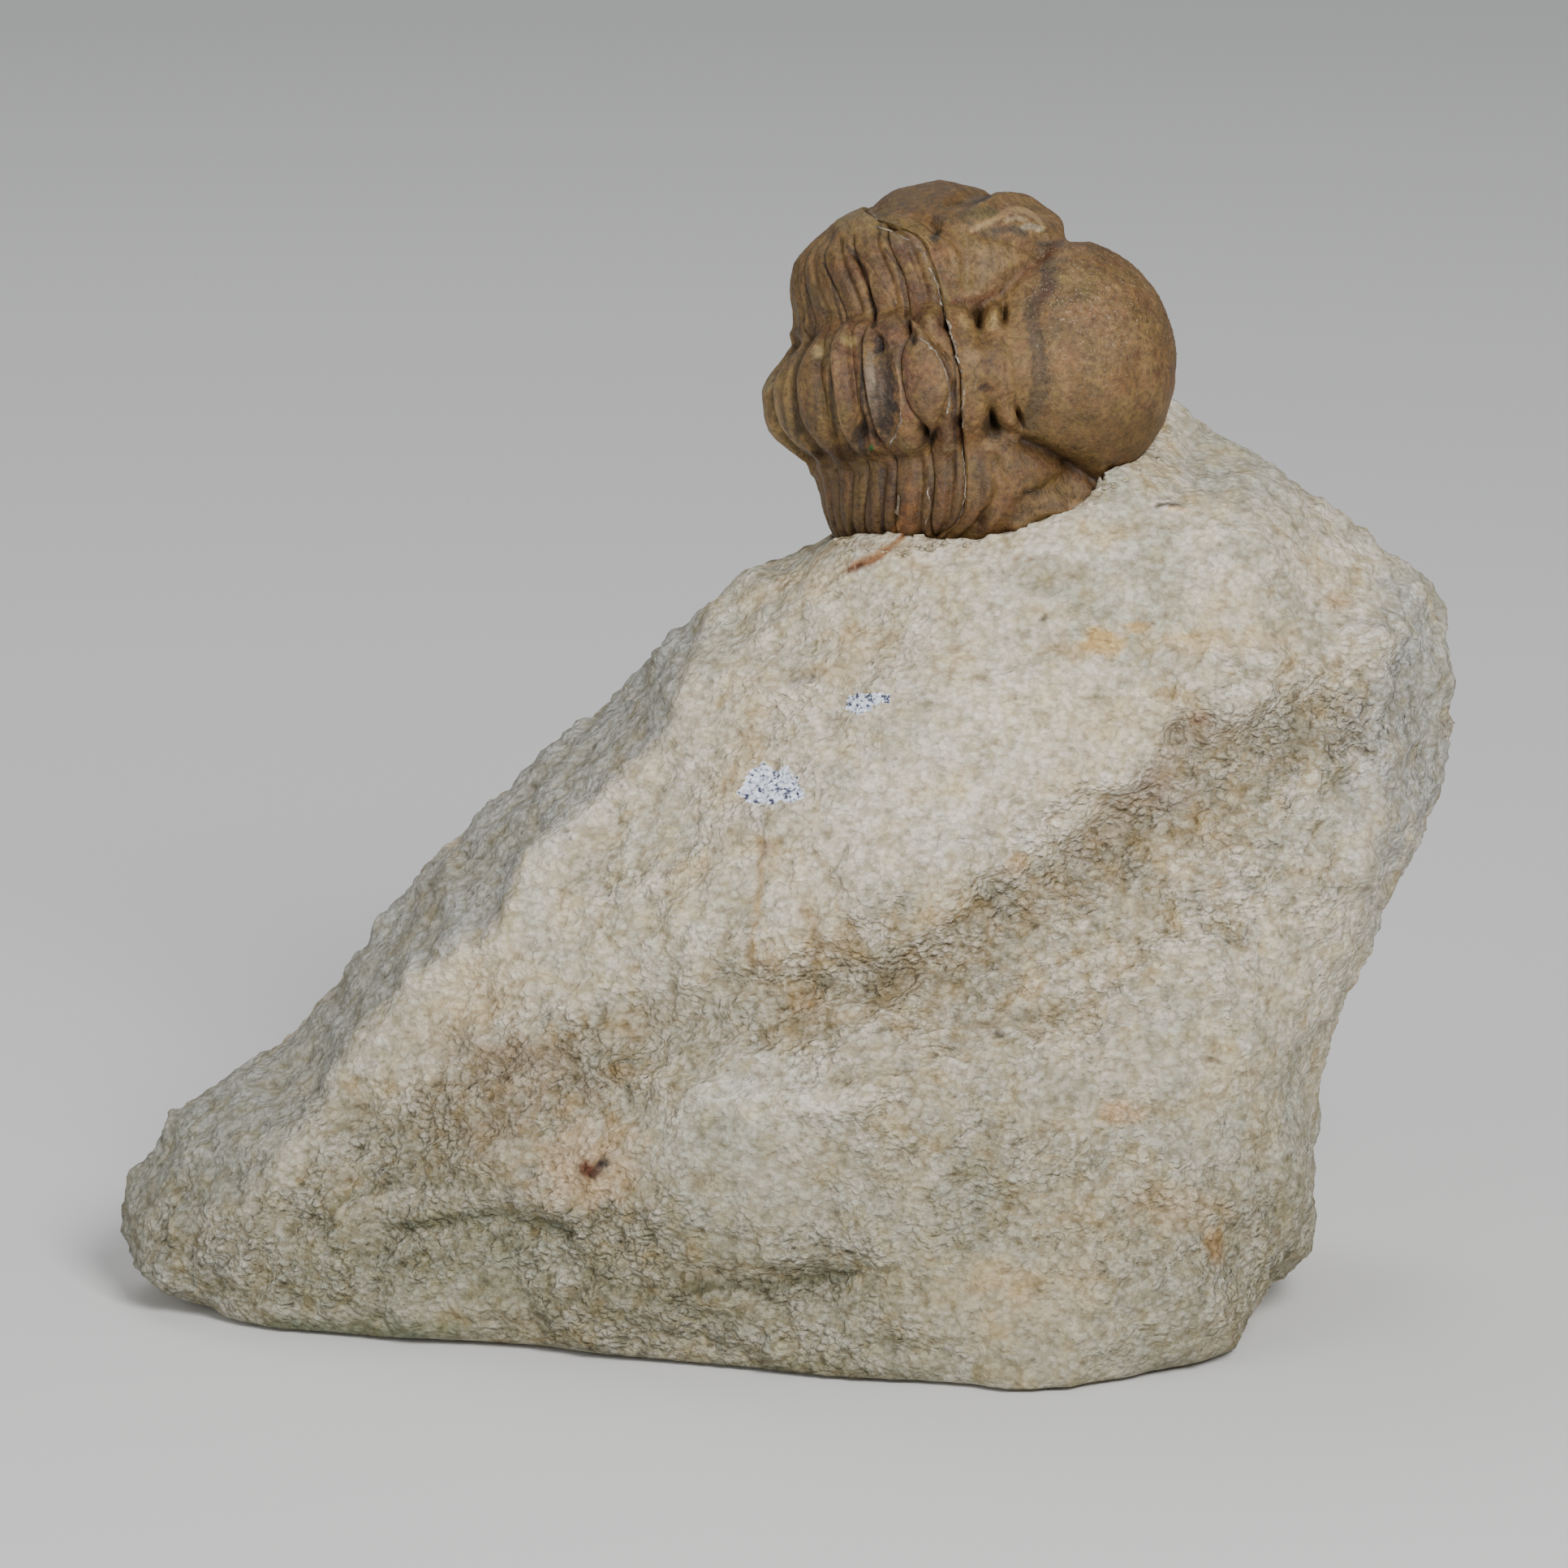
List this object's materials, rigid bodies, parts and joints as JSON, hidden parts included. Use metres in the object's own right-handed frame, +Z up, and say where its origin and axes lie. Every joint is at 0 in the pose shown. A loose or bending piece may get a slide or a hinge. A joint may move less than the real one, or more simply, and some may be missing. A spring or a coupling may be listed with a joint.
{
  "type": "trilobite fossil on matrix rock",
  "caption": "Partly enrolled trilobite with a bulbous head lobe, prepared free on the tip of a sloping limestone block that rests on a flat underside",
  "frame": {"origin": "centre of the bounding box at its lowest level, on the rock's flat underside", "axes": "+X to the right of the display view, +Y away from the viewer, +Z up"},
  "size_m": [0.0668, 0.0352, 0.0551],
  "materials": {
    "matrix_rock": "rough, finely pitted limestone",
    "head_shield": "satin, calcite-replaced shell",
    "thorax_segment_01": "satin, calcite-replaced shell",
    "thorax_segment_02": "satin, calcite-replaced shell",
    "thorax_segment_03": "satin, calcite-replaced shell",
    "thorax_segment_04": "satin, calcite-replaced shell",
    "thorax_segment_05": "satin, calcite-replaced shell",
    "thorax_segment_06": "satin, calcite-replaced shell",
    "thorax_segment_07": "satin, calcite-replaced shell",
    "thorax_segment_08": "satin, calcite-replaced shell",
    "thorax_segment_09": "satin, calcite-replaced shell",
    "thorax_segment_10": "satin, calcite-replaced shell",
    "thorax_segment_11": "satin, calcite-replaced shell",
    "tail_shield": "satin, calcite-replaced shell"
  },
  "bodies": {
    "root": {"matrix_rock": "matrix_rock", "head_shield": "head_shield", "thorax_segment_01": "thorax_segment_01", "thorax_segment_02": "thorax_segment_02", "thorax_segment_03": "thorax_segment_03", "thorax_segment_04": "thorax_segment_04", "thorax_segment_05": "thorax_segment_05", "thorax_segment_06": "thorax_segment_06", "thorax_segment_07": "thorax_segment_07", "thorax_segment_08": "thorax_segment_08", "thorax_segment_09": "thorax_segment_09", "thorax_segment_10": "thorax_segment_10", "thorax_segment_11": "thorax_segment_11", "tail_shield": "tail_shield"}
  },
  "joints": []
}
